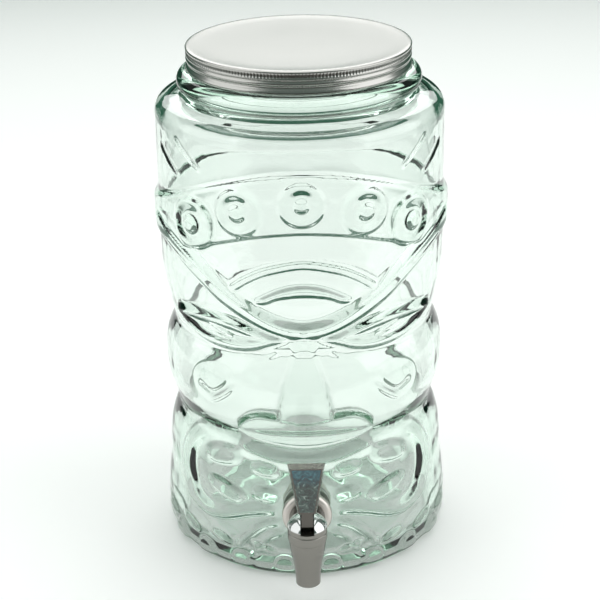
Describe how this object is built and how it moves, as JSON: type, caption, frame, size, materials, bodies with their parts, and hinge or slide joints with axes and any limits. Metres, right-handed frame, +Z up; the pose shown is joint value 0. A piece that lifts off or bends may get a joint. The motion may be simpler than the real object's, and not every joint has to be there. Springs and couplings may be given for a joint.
{
  "type": "beverage dispenser",
  "caption": "Glass drinks jar with a carved-mask face in relief, a knurled metal screw lid and a chrome lever tap low on the front.",
  "frame": {"origin": "centre of the ring that the jar stands on, at table height, on the jar's axis", "axes": "+Z up along the jar's axis; the face and the tap look along -Y; +X is to the right of someone facing them"},
  "size_m": [0.1728, 0.2134, 0.3],
  "materials": {
    "jar_glass": "clear pressed glass with a pale green tint",
    "lid_tinplate": "satin plated tinplate",
    "silicone": "milky silicone",
    "chrome": "bright chrome plate",
    "dark_chrome": "smoked chrome plate",
    "satin_chrome": "satin chrome plate",
    "lever_panel": "mottled blue-green gloss",
    "nut_plastic": "moulded white nylon",
    "stainless": "drawn stainless steel"
  },
  "bodies": {
    "jar_and_tap": {"jar": "jar_glass", "tap_body": "satin_chrome", "tap_escutcheon": "satin_chrome", "outer_washer": "silicone", "inner_washer": "silicone", "flat_washer": "stainless", "shank_nut": "nut_plastic", "bonnet": "chrome", "bonnet_gasket": "silicone", "stem_o_ring": "silicone", "lever_pin": "stainless", "valve_spring": "stainless"},
    "gasket_ring": {"lid_gasket": "silicone"},
    "lid": {"lid_shell": "lid_tinplate"},
    "valve_rod": {"valve_stem": "stainless", "stem_cross_pin": "stainless", "seat_seal": "silicone"},
    "tap_lever": {"lever": "dark_chrome", "lever_inlay": "lever_panel"}
  },
  "joints": [
    {"name": "lid_lift", "type": "slide", "parent": "jar_and_tap", "child": "gasket_ring", "axis": [0, 0, 1], "range_m": [0, 0.0152]},
    {"name": "lid_turn", "type": "hinge", "parent": "gasket_ring", "child": "lid", "pos_m": [0, 0, 0.3], "axis": [0, 0, 1], "range_deg": [0, 1080]},
    {"name": "stem_lift", "type": "slide", "parent": "jar_and_tap", "child": "valve_rod", "axis": [0, 0, 1], "range_m": [0, 0.00405], "deforming": ["valve_spring"]},
    {"name": "lever_tilt", "type": "hinge", "parent": "jar_and_tap", "child": "tap_lever", "pos_m": [0, -0.1175, 0.0548], "axis": [1, 0, 0], "range_deg": [0, 45], "stiffness_Nm_per_rad": 0.15, "springref_deg": -5.73}
  ],
  "couplings": [
    {"joint": "lid_lift", "follows": "lid_turn", "m_per_rad": 0.00079577},
    {"joint": "stem_lift", "follows": "lever_tilt", "m_per_rad": 0.005093}
  ]
}
